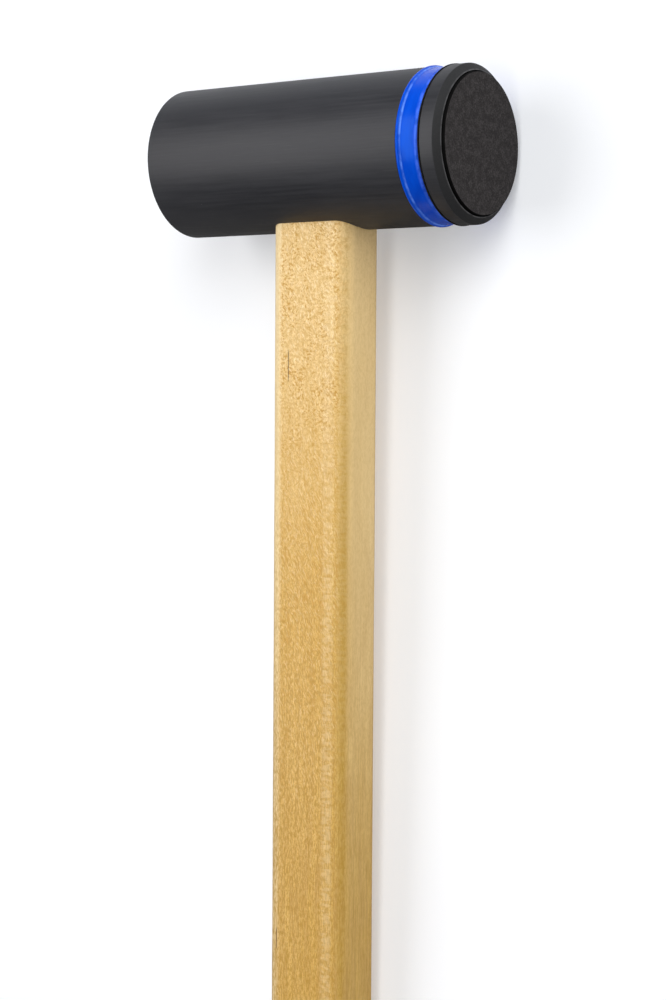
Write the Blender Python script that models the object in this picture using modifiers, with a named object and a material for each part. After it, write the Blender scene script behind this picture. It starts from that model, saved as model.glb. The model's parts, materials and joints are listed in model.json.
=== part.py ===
"""Chime mallet: a turned plastic head on a straight maple handle, lying at rest on a flat surface.

Lengths are in metres. The head's axis lies along X with the padded end at +X, the handle runs
along -Y, and +Z is up. The pieces are modelled level about the point where the handle's centre line
meets the head's axis, and one empty then tips them until the head and the butt both touch Z = 0.
"""
import math

import bmesh
import bpy

# Head
HEAD_RADIUS = 0.01905
BARREL_LENGTH = 0.0754
HANDLE_FROM_HARD_FACE = 0.0427
BARREL_EDGE_ROUND = 0.0005
SHOULDER_EDGE_ROUND = 0.0002

# Ring on the barrel's spigot: a proud lip beside the barrel, then a band just below its surface
RING_WIDTH = 0.0062
RING_WALL = 0.0055
RING_LIP_PROUD = 0.0003
RING_LIP_ROUND = 0.0005
RING_BAND_DROP = 0.0003
RING_COVE_ROUND = 0.001
RING_SHOULDER_ROUND = 0.0016

# Thin washer between the ring and the cap
WASHER_THICKNESS = 0.0003
WASHER_PROUD = 0.00025

# End cap
CAP_THICKNESS = 0.00505
CAP_STEP = 0.0001
CAP_BACK_ROUND = 0.0002
CHAMFER_LENGTH = 0.0015
CHAMFER_DEPTH = 0.0017
RIM_LAND = 0.00015
RECESS_DEPTH = 0.0012
SOCKET_DEPTH = 0.0008

# Pad and its adhesive
PAD_THICKNESS = 0.0014
PAD_EDGE_ROUND = 0.00025
PAD_CLEARANCE = 0.0003
ADHESIVE_THICKNESS = 0.0003
ADHESIVE_INSET = 0.0005

# Handle
HANDLE_LENGTH = 0.334
HANDLE_WIDTH = 0.0238
HANDLE_DEPTH = 0.0159
HANDLE_CORNER_RADIUS = 0.004
BUTT_EDGE_ROUND = 0.0015
TENON_CHAMFER = 0.0006
CROWN_WALL = 0.009

# Screw through the cap and the barrel into the tenon
SCREW_RADIUS = 0.002
SCREW_HEAD_RADIUS = 0.0038
SCREW_BITE = 0.013
SCREW_TIP_LENGTH = 0.004
SCREW_TIP_RADIUS = 0.0003
SCREW_HEAD_RIM = 0.0003
DRIVE_SLOT_WIDTH = 0.001
DRIVE_SLOT_LENGTH = 0.0042
DRIVE_SLOT_DEPTH = 0.0011

# Clearances
SEAM_GAP = 0.0003
FIT_GAP = 0.0002
FILM_GAP = 0.0001

# Facets
HEAD_FACETS = 96
SCREW_FACETS = 32
CORNER_FACETS = 8
EDGE_FACETS = 3
SMALL_EDGE_FACETS = 2
CUTTER_OVERRUN = 0.005
MERGE_DISTANCE = 0.00001
SHARP_ANGLE = 35

# Places along the head's axis
HARD_FACE_X = -HANDLE_FROM_HARD_FACE
SHOULDER_X = HARD_FACE_X + BARREL_LENGTH
RING_START_X = SHOULDER_X + SEAM_GAP
RING_END_X = RING_START_X + RING_WIDTH
WASHER_BACK_X = RING_END_X + FILM_GAP
WASHER_FRONT_X = WASHER_BACK_X + WASHER_THICKNESS
CAP_BACK_X = WASHER_FRONT_X + FILM_GAP
CAP_FRONT_X = CAP_BACK_X + CAP_THICKNESS
SOCKET_FLOOR_X = CAP_BACK_X + SOCKET_DEPTH
SPIGOT_END_X = SOCKET_FLOOR_X - SEAM_GAP
RECESS_FLOOR_X = CAP_FRONT_X - RECESS_DEPTH
ADHESIVE_BACK_X = RECESS_FLOOR_X + FILM_GAP
PAD_BACK_X = ADHESIVE_BACK_X + ADHESIVE_THICKNESS + FILM_GAP
PAD_FACE_X = PAD_BACK_X + PAD_THICKNESS
SCREW_TOP_X = RECESS_FLOOR_X - FILM_GAP
SCREW_TIP_X = HANDLE_WIDTH / 2 - SCREW_BITE

# Radii about the head's axis
RING_LIP_RADIUS = HEAD_RADIUS + RING_LIP_PROUD
RING_BAND_RADIUS = HEAD_RADIUS - RING_BAND_DROP
SPIGOT_RADIUS = HEAD_RADIUS - RING_WALL
SLEEVE_RADIUS = SPIGOT_RADIUS + FIT_GAP
WASHER_RADIUS = HEAD_RADIUS + WASHER_PROUD
CAP_RADIUS = HEAD_RADIUS + CAP_STEP
WIDEST_RADIUS = max(HEAD_RADIUS, RING_LIP_RADIUS, WASHER_RADIUS, CAP_RADIUS)
RIM_RADIUS = CAP_RADIUS - CHAMFER_DEPTH
RECESS_RADIUS = RIM_RADIUS - RIM_LAND
PAD_RADIUS = RECESS_RADIUS - PAD_CLEARANCE
BORE_RADIUS = SCREW_RADIUS + FIT_GAP
COUNTERSINK_RADIUS = SCREW_HEAD_RADIUS + FIT_GAP

# Places along the handle
TENON_END_Y = HEAD_RADIUS - CROWN_WALL
BUTT_Y = TENON_END_Y - HANDLE_LENGTH

# Finishes: colour, roughness, metallic
PLASTIC = ((0.072, 0.073, 0.077, 1.0), 0.5, 0.0)
ELASTOMER = ((0.004, 0.09, 0.62, 1.0), 0.25, 0.0)
RUBBER = ((0.01, 0.01, 0.011, 1.0), 0.7, 0.0)
PAD_FOAM = ((0.018, 0.017, 0.017, 1.0), 0.95, 0.0)
MAPLE = ((0.66, 0.45, 0.2, 1.0), 0.42, 0.0)
ADHESIVE = ((0.75, 0.73, 0.66, 1.0), 0.6, 0.0)
STEEL = ((0.58, 0.57, 0.54, 1.0), 0.35, 1.0)


def clear_scene():
    for old in list(bpy.context.scene.objects):
        bpy.data.objects.remove(old, do_unlink=True)


def new_collection(name):
    collection = bpy.data.collections.new(name)
    bpy.context.scene.collection.children.link(collection)
    return collection


def material(name, finish):
    colour, roughness, metallic = finish
    made = bpy.data.materials.new(name)
    made.use_nodes = True
    shader = made.node_tree.nodes["Principled BSDF"]
    shader.inputs["Base Color"].default_value = colour
    shader.inputs["Roughness"].default_value = roughness
    shader.inputs["Metallic"].default_value = metallic
    made.diffuse_color = colour
    return made


def place(name, mesh, collection, finish=None):
    obj = bpy.data.objects.new(name, mesh)
    collection.objects.link(obj)
    if finish:
        mesh.materials.append(finish)
    return obj


def arc(centre_radius, centre_x, radius, start, end, steps=EDGE_FACETS):
    """Points (radius, x) on a rounded edge, from start to end in degrees: 0 is outwards, 90 towards +X."""
    points = []
    for step in range(steps + 1):
        angle = math.radians(start + (end - start) * step / steps)
        points.append((centre_radius + radius * math.cos(angle), centre_x + radius * math.sin(angle)))
    return points


def turned(name, profile, collection, finish, closed=False, facets=HEAD_FACETS):
    """Revolve a profile of (radius, x) points, from the +X end down the outer side, about the head's axis."""
    shape = bmesh.new()
    points = [shape.verts.new((radius, 0.0, along)) for radius, along in profile]
    for first, second in zip(points, points[1:]):
        shape.edges.new((first, second))
    if closed:
        shape.edges.new((points[-1], points[0]))
    mesh = bpy.data.meshes.new(name)
    shape.to_mesh(mesh)
    shape.free()
    obj = place(name, mesh, collection, finish)
    screw = obj.modifiers.new("turn", "SCREW")
    screw.axis = "Z"
    screw.angle = math.tau
    screw.steps = facets
    screw.render_steps = facets
    screw.use_merge_vertices = True
    screw.merge_threshold = MERGE_DISTANCE
    obj.rotation_euler = (0.0, math.pi / 2, 0.0)
    return obj


def round_edges(shape, wanted, size, segments):
    """Bevel the edges whose two end points pass the test."""
    edges = [edge for edge in shape.edges if wanted(edge.verts[0].co, edge.verts[1].co)]
    bmesh.ops.bevel(
        shape, geom=edges, offset=size, segments=segments, profile=0.5, affect="EDGES", material=-1
    )


def rounded_bar(name, width, depth, corner, low_y, high_y, collection, finish=None, ends=None):
    """A bar along Y whose long edges are rounded, with optional (Y, size, segments) rounding on its ends."""
    shape = bmesh.new()
    bmesh.ops.create_cube(shape, size=1.0)
    bmesh.ops.scale(shape, vec=(width, high_y - low_y, depth), verts=shape.verts)
    bmesh.ops.translate(shape, vec=(0.0, (low_y + high_y) / 2, 0.0), verts=shape.verts)
    round_edges(shape, lambda first, second: abs(first.y - second.y) > MERGE_DISTANCE, corner, CORNER_FACETS)
    for end_y, size, segments in ends or []:
        round_edges(
            shape,
            lambda first, second: max(abs(first.y - end_y), abs(second.y - end_y)) < MERGE_DISTANCE,
            size,
            segments,
        )
    mesh = bpy.data.meshes.new(name)
    shape.to_mesh(mesh)
    shape.free()
    return place(name, mesh, collection, finish)


def as_cutter(obj):
    obj.hide_render = True
    obj.display_type = "WIRE"
    return obj


def cut(target, cutter):
    boolean = target.modifiers.new("cut_" + cutter.name, "BOOLEAN")
    boolean.operation = "DIFFERENCE"
    boolean.solver = "EXACT"
    boolean.object = cutter


def make_barrel(collection, finish):
    shoulder = SHOULDER_EDGE_ROUND
    edge = BARREL_EDGE_ROUND
    profile = [(0.0, SPIGOT_END_X), (SPIGOT_RADIUS, SPIGOT_END_X), (SPIGOT_RADIUS, SHOULDER_X)]
    profile += arc(HEAD_RADIUS - shoulder, SHOULDER_X - shoulder, shoulder, 90, 0, SMALL_EDGE_FACETS)
    profile += arc(HEAD_RADIUS - edge, HARD_FACE_X + edge, edge, 0, -90)
    profile += [(0.0, HARD_FACE_X)]
    return turned("barrel", profile, collection, finish)


def make_ring(collection, finish):
    """The profile runs down the rounded right shoulder, along the band, up a cove and over the lip."""
    shoulder = RING_SHOULDER_ROUND
    lip = RING_LIP_ROUND
    cove = RING_COVE_ROUND
    lip_height = RING_LIP_RADIUS - RING_BAND_RADIUS
    meeting = math.degrees(math.acos((cove + lip - lip_height) / (cove + lip)))
    lip_x = RING_START_X + lip
    cove_x = lip_x + (lip + cove) * math.sin(math.radians(meeting))
    profile = [(SLEEVE_RADIUS, RING_END_X)]
    profile += arc(RING_BAND_RADIUS - shoulder, RING_END_X - shoulder, shoulder, 90, 0, 2 * EDGE_FACETS)
    profile += arc(RING_BAND_RADIUS + cove, cove_x, cove, 180, 180 + meeting)
    profile += arc(RING_LIP_RADIUS - lip, lip_x, lip, meeting, -90, 2 * EDGE_FACETS)[1:]
    profile += [(SLEEVE_RADIUS, RING_START_X)]
    return turned("colour_ring", profile, collection, finish, closed=True)


def make_washer(collection, finish):
    profile = [(SLEEVE_RADIUS, WASHER_FRONT_X), (WASHER_RADIUS, WASHER_FRONT_X)]
    profile += [(WASHER_RADIUS, WASHER_BACK_X), (SLEEVE_RADIUS, WASHER_BACK_X)]
    return turned("ring_washer", profile, collection, finish, closed=True)


def make_cap(collection, finish):
    """The profile runs down the outside, into the spigot's socket and back up the screw's countersunk hole."""
    back = CAP_BACK_ROUND
    cone_start_x = SCREW_TOP_X - SCREW_HEAD_RIM
    cone_end_x = cone_start_x - (COUNTERSINK_RADIUS - BORE_RADIUS)
    profile = [
        (RECESS_RADIUS, RECESS_FLOOR_X),
        (RECESS_RADIUS, CAP_FRONT_X),
        (RIM_RADIUS, CAP_FRONT_X),
        (CAP_RADIUS, CAP_FRONT_X - CHAMFER_LENGTH),
    ]
    profile += arc(CAP_RADIUS - back, CAP_BACK_X + back, back, 0, -90, SMALL_EDGE_FACETS)
    profile += [
        (SLEEVE_RADIUS, CAP_BACK_X),
        (SLEEVE_RADIUS, SOCKET_FLOOR_X),
        (BORE_RADIUS, SOCKET_FLOOR_X),
        (BORE_RADIUS, cone_end_x),
        (COUNTERSINK_RADIUS, cone_start_x),
        (COUNTERSINK_RADIUS, RECESS_FLOOR_X),
    ]
    return turned("end_cap", profile, collection, finish, closed=True)


def make_pad(collection, finish):
    edge = PAD_EDGE_ROUND
    profile = [(0.0, PAD_FACE_X)]
    profile += arc(PAD_RADIUS - edge, PAD_FACE_X - edge, edge, 90, 0)
    profile += [(PAD_RADIUS, PAD_BACK_X), (0.0, PAD_BACK_X)]
    return turned("strike_pad", profile, collection, finish)


def make_adhesive(collection, finish):
    radius = PAD_RADIUS - ADHESIVE_INSET
    front = ADHESIVE_BACK_X + ADHESIVE_THICKNESS
    profile = [(0.0, front), (radius, front), (radius, ADHESIVE_BACK_X), (0.0, ADHESIVE_BACK_X)]
    return turned("pad_adhesive", profile, collection, finish)


def make_handle(collection, finish):
    ends = [(BUTT_Y, BUTT_EDGE_ROUND, EDGE_FACETS), (TENON_END_Y, TENON_CHAMFER, 1)]
    section = (HANDLE_WIDTH, HANDLE_DEPTH, HANDLE_CORNER_RADIUS)
    return rounded_bar("handle", *section, BUTT_Y, TENON_END_Y, collection, finish, ends)


def make_screw(collection, cutters, finish):
    """A countersunk wood screw with its thread left plain, and a cross recess cut into its head."""
    cone_end_x = SCREW_TOP_X - SCREW_HEAD_RIM - (SCREW_HEAD_RADIUS - SCREW_RADIUS)
    profile = [
        (0.0, SCREW_TOP_X),
        (SCREW_HEAD_RADIUS, SCREW_TOP_X),
        (SCREW_HEAD_RADIUS, SCREW_TOP_X - SCREW_HEAD_RIM),
        (SCREW_RADIUS, cone_end_x),
        (SCREW_RADIUS, SCREW_TIP_X + SCREW_TIP_LENGTH),
        (SCREW_TIP_RADIUS, SCREW_TIP_X),
        (0.0, SCREW_TIP_X),
    ]
    screw = turned("head_screw", profile, collection, finish, facets=SCREW_FACETS)
    slots = ((DRIVE_SLOT_LENGTH, DRIVE_SLOT_WIDTH), (DRIVE_SLOT_WIDTH, DRIVE_SLOT_LENGTH))
    for index, size in enumerate(slots):
        shape = bmesh.new()
        bmesh.ops.create_cube(shape, size=1.0)
        bmesh.ops.scale(shape, vec=(2 * DRIVE_SLOT_DEPTH, *size), verts=shape.verts)
        mesh = bpy.data.meshes.new("drive_slot_%d" % index)
        shape.to_mesh(mesh)
        shape.free()
        slot = as_cutter(place(mesh.name, mesh, cutters))
        slot.location = (SCREW_TOP_X, 0.0, 0.0)
        cut(screw, slot)
    return screw


def make_mortise_cutter(cutters):
    """The handle's own section, grown by the fit, from below the barrel to just past the tenon's end."""
    return as_cutter(
        rounded_bar(
            "mortise",
            HANDLE_WIDTH + 2 * FIT_GAP,
            HANDLE_DEPTH + 2 * FIT_GAP,
            HANDLE_CORNER_RADIUS + FIT_GAP,
            -HEAD_RADIUS - CUTTER_OVERRUN,
            TENON_END_Y + SEAM_GAP,
            cutters,
        )
    )


def make_drill_cutter(cutters):
    """One drilling on the head's axis, from outside the spigot through the barrel and into the tenon."""
    low = SCREW_TIP_X - SEAM_GAP
    high = SPIGOT_END_X + CUTTER_OVERRUN
    profile = [(0.0, high), (BORE_RADIUS, high), (BORE_RADIUS, low), (0.0, low)]
    return as_cutter(turned("screw_drilling", profile, cutters, None, facets=SCREW_FACETS))


def rest_tilt():
    """The angle about X that brings the butt's lower edge down to the surface that the head stands on."""
    reach = -BUTT_Y - BUTT_EDGE_ROUND
    half_depth = HANDLE_DEPTH / 2
    return math.asin(WIDEST_RADIUS / math.hypot(reach, half_depth)) - math.atan2(half_depth, reach)


def rest_pose(parts):
    """Parent the pieces to one empty that lays the mallet on Z = 0, centred on its outline in X and Y."""
    tilt = rest_tilt()
    butt_reach = -BUTT_Y * math.cos(tilt) + (HANDLE_DEPTH / 2 - BUTT_EDGE_ROUND) * math.sin(tilt)
    pose = bpy.data.objects.new("rest_pose", None)
    bpy.context.scene.collection.objects.link(pose)
    pose.location = (-(HARD_FACE_X + PAD_FACE_X) / 2, (butt_reach - WIDEST_RADIUS) / 2, WIDEST_RADIUS)
    pose.rotation_euler = (tilt, 0.0, 0.0)
    for obj in parts:
        obj.parent = pose
    return pose


def bake_and_shade(obj):
    """Turn the modifiers into mesh and shade it smooth, with its real edges kept sharp."""
    evaluated = obj.evaluated_get(bpy.context.evaluated_depsgraph_get())
    mesh = bpy.data.meshes.new_from_object(evaluated)
    mesh.name = obj.name
    mesh.shade_smooth()
    mesh.set_sharp_from_angle(angle=math.radians(SHARP_ANGLE))
    obj.modifiers.clear()
    obj.data = mesh


def build():
    clear_scene()
    parts = new_collection("chime_mallet")
    cutters = new_collection("cutters")
    barrel = make_barrel(parts, material("charcoal_plastic", PLASTIC))
    handle = make_handle(parts, material("maple", MAPLE))
    solids = [
        barrel,
        make_ring(parts, material("blue_elastomer", ELASTOMER)),
        make_washer(parts, material("black_rubber", RUBBER)),
        make_cap(parts, material("charcoal_plastic_cap", PLASTIC)),
        make_pad(parts, material("black_pad", PAD_FOAM)),
        make_adhesive(parts, material("adhesive", ADHESIVE)),
        handle,
        make_screw(parts, cutters, material("zinc_steel", STEEL)),
    ]
    mortise = make_mortise_cutter(cutters)
    drilling = make_drill_cutter(cutters)
    cut(barrel, mortise)
    cut(barrel, drilling)
    cut(handle, drilling)
    for obj in solids:
        bake_and_shade(obj)
    rest_pose(solids + list(cutters.objects))
    bpy.context.view_layer.update()


build()
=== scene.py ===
import json
import math
import bmesh
import bpy
from mathutils import Euler, Matrix, Vector, noise


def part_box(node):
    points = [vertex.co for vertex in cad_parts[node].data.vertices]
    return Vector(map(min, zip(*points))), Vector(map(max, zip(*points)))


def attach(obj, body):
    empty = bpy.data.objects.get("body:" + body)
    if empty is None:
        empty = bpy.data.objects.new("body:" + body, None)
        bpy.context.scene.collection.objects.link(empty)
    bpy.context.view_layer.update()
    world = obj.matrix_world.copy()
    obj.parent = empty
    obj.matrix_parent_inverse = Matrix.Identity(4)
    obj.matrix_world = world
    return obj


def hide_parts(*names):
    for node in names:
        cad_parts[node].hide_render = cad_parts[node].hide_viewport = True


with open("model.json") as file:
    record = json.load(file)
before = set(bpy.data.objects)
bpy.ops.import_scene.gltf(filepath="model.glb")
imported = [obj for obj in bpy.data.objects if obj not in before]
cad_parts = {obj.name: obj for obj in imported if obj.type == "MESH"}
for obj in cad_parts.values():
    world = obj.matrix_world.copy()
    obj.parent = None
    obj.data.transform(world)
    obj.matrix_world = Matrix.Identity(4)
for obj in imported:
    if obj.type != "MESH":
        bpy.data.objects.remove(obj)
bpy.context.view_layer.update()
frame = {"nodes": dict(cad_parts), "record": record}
print("frame: %d nodes loaded" % len(frame["nodes"]))

mm = 0.001
weldDistance = 0.001 * mm
edgeAngle = 32  # degrees past which an edge is drawn sharp
around = math.tau

# The mallet lies on the floor: head along X, handle running towards -Y and tipped a little about the head
mounts = {mount["name"]: mount for mount in frame["record"]["mounts"]}
alongHandle = -Vector(mounts["butt_face"]["axis"])
tilt = math.atan2(alongHandle.z, alongHandle.y)
ringLow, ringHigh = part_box("colour_ring")
handleLow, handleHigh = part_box("handle")
headCentre = (ringLow + ringHigh) / 2
headCentre.x = (handleLow.x + handleHigh.x) / 2
toRest = Matrix.Translation(headCentre) @ Matrix.Rotation(tilt, 4, "X")


def spanOf(node):
    # Where a turned node starts and ends along the head's axis, and its radius
    low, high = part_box(node)
    return low.x - headCentre.x, high.x - headCentre.x, (high.z - low.z) / 2


hardFace, spigotEnd, barrelRadius = spanOf("barrel")
ringStart, ringEnd, ringRadius = spanOf("colour_ring")
washerBack, washerFront, washerRadius = spanOf("ring_washer")
capBack, capFront, capRadius = spanOf("end_cap")
padBack, padFace, padRadius = spanOf("strike_pad")
screwTip, screwTop, screwHeadRadius = spanOf("head_screw")
butt = (Vector(mounts["butt_face"]["pos_m"]) - headCentre).dot(alongHandle)

joint = {
    "seam": 0.3 * mm,
    "fit": 0.2 * mm,
    "spigotRadius": 13.55 * mm,
    "boreRadius": 2.2 * mm,
    "crownWall": 9.0 * mm,
    "boreRound": 0.1 * mm,
    "drillSteps": 48,
}
tenonEnd = barrelRadius - joint["crownWall"]


# Modelling helpers

def finishMesh(name, shape, sharpAngle=edgeAngle, place=toRest):
    bmesh.ops.remove_doubles(shape, verts=shape.verts, dist=weldDistance)
    bmesh.ops.recalc_face_normals(shape, faces=shape.faces)
    mesh = bpy.data.meshes.new(name)
    shape.to_mesh(mesh)
    shape.free()
    mesh.transform(place)
    mesh.shade_smooth()
    mesh.set_sharp_from_angle(angle=math.radians(sharpAngle))
    piece = bpy.data.objects.new(name, mesh)
    bpy.context.scene.collection.objects.link(piece)
    return piece


def turned(name, corners, steps, closed=False, roundSteps=5, place=toRest):
    # corners are (along, radius, rounding) from one end of the profile to the other
    shape = bmesh.new()
    points = [shape.verts.new((along, radius, 0)) for along, radius, rounding in corners]
    for first, second in zip(points, points[1:]):
        shape.edges.new((first, second))
    if closed:
        shape.edges.new((points[-1], points[0]))
    for point, (along, radius, rounding) in zip(points, corners):
        if rounding:
            bmesh.ops.bevel(shape, geom=[point], offset=rounding, offset_type="OFFSET", affect="VERTICES",
                            segments=roundSteps, profile=0.5, material=-1, clamp_overlap=False)
    bmesh.ops.spin(shape, geom=shape.verts[:] + shape.edges[:], cent=(0, 0, 0), axis=(1, 0, 0),
                   dvec=(0, 0, 0), angle=around, steps=steps, use_merge=True)
    return finishMesh(name, shape, place=place)


def makeBar(name, section, levels, place=toRest):
    # A bar of rounded rectangular section. Each level is (along, growth, follows the barrel's round or not)
    width, depth, corner, cornerSteps = section
    shape = bmesh.new()
    first = bmesh.ops.create_grid(shape, x_segments=1, y_segments=1, size=0.5)["verts"]
    bmesh.ops.scale(shape, vec=(width, depth, 1), verts=first)
    bmesh.ops.rotate(shape, cent=(0, 0, 0), matrix=Matrix.Rotation(math.pi / 2, 3, "X"), verts=first)
    bmesh.ops.bevel(shape, geom=first, offset=corner, offset_type="OFFSET", affect="VERTICES",
                    segments=cornerSteps, profile=0.5, material=-1, clamp_overlap=False)
    rim, verts = shape.edges[:], shape.verts[:]
    for index, (along, growth, follows) in enumerate(levels):
        if index:
            made = bmesh.ops.extrude_edge_only(shape, edges=rim)["geom"]
            rim = [part for part in made if isinstance(part, bmesh.types.BMEdge)]
            verts = [part for part in made if isinstance(part, bmesh.types.BMVert)]
        for vert in verts:
            cornerX = math.copysign(width / 2 - corner, vert.co.x)
            cornerZ = math.copysign(depth / 2 - corner, vert.co.z)
            centre = Vector((cornerX, 0, cornerZ))
            outwards = Vector((vert.co.x, 0, vert.co.z)) - centre
            vert.co = centre + outwards.normalized() * (corner + growth)
            vert.co.y = along - math.sqrt(barrelRadius ** 2 - vert.co.z ** 2) if follows else along
    bmesh.ops.holes_fill(shape, edges=rim, sides=0)
    return finishMesh(name, shape, place=place)


def stretchRim(shape, rim, radius, along):
    # Draws a round rim on to another radius, and gives the new rim
    made = bmesh.ops.extrude_edge_only(shape, edges=rim)["geom"]
    for vert in made:
        if isinstance(vert, bmesh.types.BMVert):
            outwards = vert.co.yz.normalized() * radius
            vert.co = Vector((along, outwards.x, outwards.y))
    return [edge for edge in made if isinstance(edge, bmesh.types.BMEdge)]


def carve(piece, cutter):
    cut = piece.modifiers.new("cut", "BOOLEAN")
    cut.operation = "DIFFERENCE"
    cut.solver = "EXACT"
    cut.object = cutter
    evaluated = piece.evaluated_get(bpy.context.evaluated_depsgraph_get())
    mesh = bpy.data.meshes.new_from_object(evaluated)
    piece.modifiers.clear()
    piece.data = mesh
    mesh.shade_smooth()
    mesh.set_sharp_from_angle(angle=math.radians(edgeAngle))
    bpy.data.objects.remove(cutter)


def dress(piece, material, node):
    piece.data.materials.clear()
    piece.data.materials.append(material)
    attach(piece, "root")
    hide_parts(node)
    print("%s: %d faces" % (piece.name, len(piece.data.polygons)))
    return piece


# Shader helpers

def put(tree, kind, inputs=None, **settings):
    made = tree.nodes.new("ShaderNode" + kind)
    for name, value in settings.items():
        setattr(made, name, value)
    for name, value in (inputs or {}).items():
        if isinstance(value, bpy.types.NodeSocket):
            tree.links.new(value, made.inputs[name])
        else:
            made.inputs[name].default_value = value
    return made


def calc(tree, operation, first, second=0.0, clamp=False):
    return put(tree, "Math", {0: first, 1: second}, operation=operation, use_clamp=clamp).outputs[0]


def times(tree, *values):
    product = values[0]
    for value in values[1:]:
        product = calc(tree, "MULTIPLY", product, value)
    return product


def remap(tree, value, low, high, newLow=0.0, newHigh=1.0, kind="SMOOTHSTEP"):
    inputs = {"Value": value, "From Min": low, "From Max": high, "To Min": newLow, "To Max": newHigh}
    return put(tree, "MapRange", inputs, interpolation_type=kind, clamp=True).outputs[0]


def mixed(tree, factor, first, second):
    # Each colour is a socket or (red, green, blue)
    inputs = {0: factor}
    for slot, colour in ((6, first), (7, second)):
        inputs[slot] = colour if isinstance(colour, bpy.types.NodeSocket) else (*colour, 1)
    return put(tree, "Mix", inputs, data_type="RGBA").outputs[2]


def ramp(tree, factor, stops):
    made = put(tree, "ValToRGB", {"Fac": factor})
    elements = made.color_ramp.elements
    while len(elements) < len(stops):
        elements.new(0.5)
    for element, (position, colour) in zip(elements, stops):
        element.position = position
        element.color = (*colour, 1)
    return made.outputs["Color"]


def newGroup(name, inputs, outputs):
    group = bpy.data.node_groups.new(name, "ShaderNodeTree")
    for socketName, kind, value in inputs:
        socket = group.interface.new_socket(socketName, in_out="INPUT", socket_type="NodeSocket" + kind)
        if value is not None:
            socket.default_value = value
    for socketName, kind in outputs:
        group.interface.new_socket(socketName, in_out="OUTPUT", socket_type="NodeSocket" + kind)
    return group, group.nodes.new("NodeGroupInput").outputs, group.nodes.new("NodeGroupOutput").inputs


def use(tree, group, inputs=None):
    made = tree.nodes.new("ShaderNodeGroup")
    made.node_tree = group
    for name, value in (inputs or {}).items():
        if isinstance(value, bpy.types.NodeSocket):
            tree.links.new(value, made.inputs[name])
        else:
            made.inputs[name].default_value = value
    return made.outputs


def newMaterial(name, **constants):
    material = bpy.data.materials.new(name)
    material.use_nodes = True
    tree = material.node_tree
    shader = tree.nodes["Principled BSDF"]
    for socketName, value in constants.items():
        shader.inputs[socketName.replace("_", " ")].default_value = value
    return material, tree, shader.inputs


def wire(tree, source, target):
    tree.links.new(source, target)


def addBump(tree, shader, height, strength, depth):
    bump = put(tree, "Bump", {"Strength": strength, "Distance": depth, "Height": height})
    wire(tree, bump.outputs[0], shader["Normal"])


# Effects shared by the materials, with lengths in millimetres

effects = {
    "streakRoughness": 0.55,
    "dotCore": 0.4,
    "bandScale": 0.45,
    "bandTone": (0.35, 0.6, 0.25, 1.0),
}


def makeMalletPlace():
    # Object coordinates on the mallet's own axes, in millimetres: X along the head, Y up the handle
    outputs = [("Place", "Vector")] + [(name, "Float") for name in ("Along", "Radius", "Up", "Depth")]
    group, inside, outside = newGroup("malletPlace", [], outputs)
    perMetre = 1 / mm
    turn = Matrix.Rotation(-tilt, 3, "X")
    shift = -(turn @ headCentre) * perMetre
    source = put(group, "TexCoord").outputs["Object"]
    place = put(group, "Mapping", {"Vector": source, "Location": shift, "Rotation": (-tilt, 0, 0),
                                   "Scale": (perMetre,) * 3}).outputs[0]
    split = put(group, "SeparateXYZ", {0: place}).outputs
    squares = calc(group, "ADD", times(group, split[1], split[1]), times(group, split[2], split[2]))
    radius = calc(group, "SQRT", squares)
    for source, target in ((place, "Place"), (split[0], "Along"), (radius, "Radius"), (split[1], "Up"),
                           (split[2], "Depth")):
        wire(group, source, outside[target])
    return group


def makeStreaks():
    # Noise drawn out along one axis: Spread is how many features a millimetre holds along X, Y and Z
    group, inside, outside = newGroup("streaks", [("Place", "Vector", None), ("Spread", "Vector", (1, 1, 1)),
                                                  ("Detail", "Float", 3.0), ("Low", "Float", 0.35),
                                                  ("High", "Float", 0.65)], [("Value", "Float")])
    scaled = put(group, "VectorMath", {0: inside["Place"], 1: inside["Spread"]},
                 operation="MULTIPLY").outputs[0]
    cloud = put(group, "TexNoise", {"Vector": scaled, "Scale": 1.0, "Detail": inside["Detail"],
                                    "Roughness": effects["streakRoughness"]}).outputs[0]
    wire(group, remap(group, cloud, inside["Low"], inside["High"], kind="LINEAR"), outside["Value"])
    return group


def makeSpecks():
    # Scattered dots: Spacing is the distance between them in millimetres, Size their radius as a share of it
    group, inside, outside = newGroup("specks", [("Place", "Vector", None), ("Spacing", "Float", 2.0),
                                                 ("Size", "Float", 0.1), ("Share", "Float", 0.5)],
                                      [("Mask", "Float")])
    scaled = put(group, "VectorMath", {0: inside["Place"], 3: calc(group, "DIVIDE", 1.0, inside["Spacing"])},
                 operation="SCALE").outputs[0]
    cells = put(group, "TexVoronoi", {"Vector": scaled, "Scale": 1.0}, feature="F1")
    pick = put(group, "SeparateColor", {0: cells.outputs["Color"]}).outputs
    edge = times(group, inside["Size"], pick[0])
    dot = remap(group, cells.outputs["Distance"], edge, times(group, edge, effects["dotCore"]))
    kept = calc(group, "LESS_THAN", pick[1], inside["Share"])
    wire(group, times(group, dot, kept), outside["Mask"])
    return group


def makeEdgeBand():
    # A soft line where Value passes Edge, broken up so that it isn't even all round
    group, inside, outside = newGroup("edgeBand", [("Place", "Vector", None), ("Value", "Float", 0.0),
                                                   ("Edge", "Float", 0.0), ("Width", "Float", 0.5)],
                                      [("Mask", "Float")])
    away = calc(group, "ABSOLUTE", calc(group, "SUBTRACT", inside["Value"], inside["Edge"]))
    line = remap(group, away, inside["Width"], 0.0)
    uneven = put(group, "TexNoise", {"Vector": inside["Place"], "Scale": effects["bandScale"],
                                     "Detail": 4.0}).outputs[0]
    wire(group, times(group, line, remap(group, uneven, *effects["bandTone"])), outside["Mask"])
    return group


malletPlace = makeMalletPlace()
streaks = makeStreaks()
specks = makeSpecks()
edgeBand = makeEdgeBand()


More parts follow.
